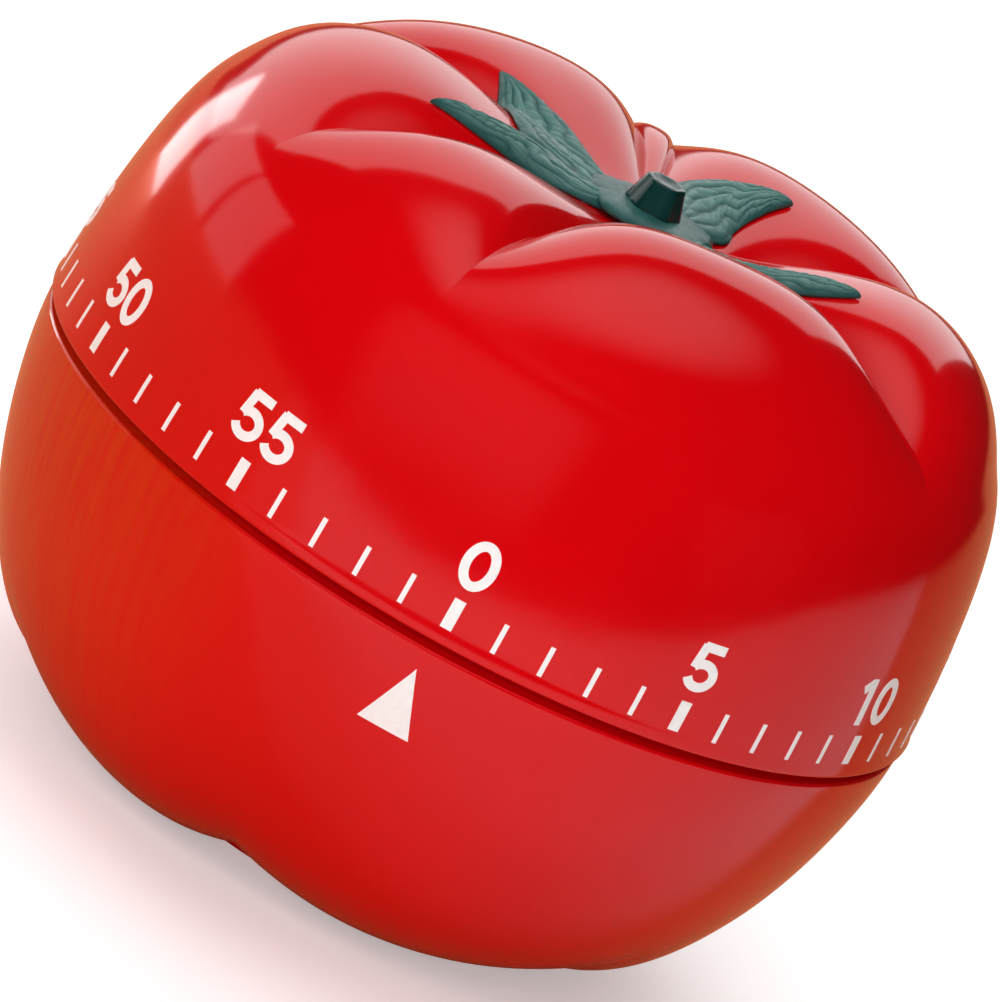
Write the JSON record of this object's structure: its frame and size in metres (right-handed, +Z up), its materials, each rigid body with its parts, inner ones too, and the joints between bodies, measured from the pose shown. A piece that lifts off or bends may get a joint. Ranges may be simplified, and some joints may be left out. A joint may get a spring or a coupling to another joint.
{
  "type": "kitchen timer",
  "caption": "Tomato-shaped mechanical kitchen timer: lobed cap that turns on a round base as the dial, green calyx, and a clockwork movement with a bell inside.",
  "frame": {"origin": "on the table, under the dial's axis, at the bottom of the standing ring", "axes": "+Z up along the dial's axis; -Y towards the pointer on the front of the base; +X to its right"},
  "size_m": [0.0674, 0.0674, 0.0551],
  "materials": {
    "red_plastic": "high gloss red ABS",
    "calyx_plastic": "satin blue-green, veined",
    "stem_plastic": "gloss dark green",
    "brass": "rolled and stamped",
    "steel": "turned and stamped steel",
    "spring_steel": "blued strip",
    "bell_steel": "bright plated",
    "printed_marks": "white pad print"
  },
  "bodies": {
    "base": {"base_shell": "red_plastic", "lower_plate": "brass", "upper_plate": "brass", "pillars": "steel", "pillar_screws": "steel", "movement_screws": "steel", "bell": "bell_steel", "bell_screw": "steel", "mainspring": "spring_steel", "stop_pin": "steel", "trip_stud": "steel"},
    "dial": {"cap_shell": "red_plastic", "calyx": "calyx_plastic", "stem": "stem_plastic", "main_arbor": "steel", "main_wheel": "brass", "ratchet_wheel": "steel", "ratchet_click": "steel", "trip_cam": "brass", "arbor_clip": "spring_steel"},
    "second_arbor": {"second_pinion": "steel", "second_wheel": "brass"},
    "third_arbor": {"third_pinion": "steel", "third_wheel": "brass"},
    "escape_arbor": {"escape_pinion": "steel", "escape_wheel": "brass"},
    "pallet": {"pallet_arbor": "steel", "pallet_anchor": "steel", "balance_bar": "brass"},
    "hammer": {"hammer_arbor": "steel", "hammer_arm": "steel", "hammer_head": "brass", "hammer_flag": "steel"},
    "trip": {"trip_lever": "steel"}
  },
  "joints": [
    {"name": "dial_turn", "type": "hinge", "parent": "base", "child": "dial", "pos_m": [0, 0, 0.0265], "axis": [0, 0, 1], "range_deg": [-342, 0]},
    {"name": "second_spin", "type": "hinge", "parent": "base", "child": "second_arbor", "pos_m": [-0.01418, 0, 0.02], "axis": [0, 0, 1], "continuous": true},
    {"name": "third_spin", "type": "hinge", "parent": "base", "child": "third_arbor", "pos_m": [-0.01198, 0.00984, 0.02], "axis": [0, 0, 1], "continuous": true},
    {"name": "escape_spin", "type": "hinge", "parent": "base", "child": "escape_arbor", "pos_m": [-0.00574, 0.01547, 0.02], "axis": [0, 0, 1], "continuous": true},
    {"name": "pallet_rock", "type": "hinge", "parent": "base", "child": "pallet", "pos_m": [0.00272, 0.01698, 0.02], "axis": [0, 0, 1], "range_deg": [-3, 3]},
    {"name": "hammer_swing", "type": "hinge", "parent": "base", "child": "hammer", "pos_m": [0.0176, 0.0082, 0.02], "axis": [0, 0, 1], "range_deg": [-3, 10]},
    {"name": "trip_swing", "type": "hinge", "parent": "base", "child": "trip", "pos_m": [0.006, -0.0145, 0.02], "axis": [0, 0, 1], "range_deg": [0, 8]}
  ],
  "couplings": [
    {"joint": "second_spin", "follows": "dial_turn", "ratio": -6},
    {"joint": "third_spin", "follows": "dial_turn", "ratio": 36},
    {"joint": "escape_spin", "follows": "dial_turn", "ratio": -216}
  ]
}
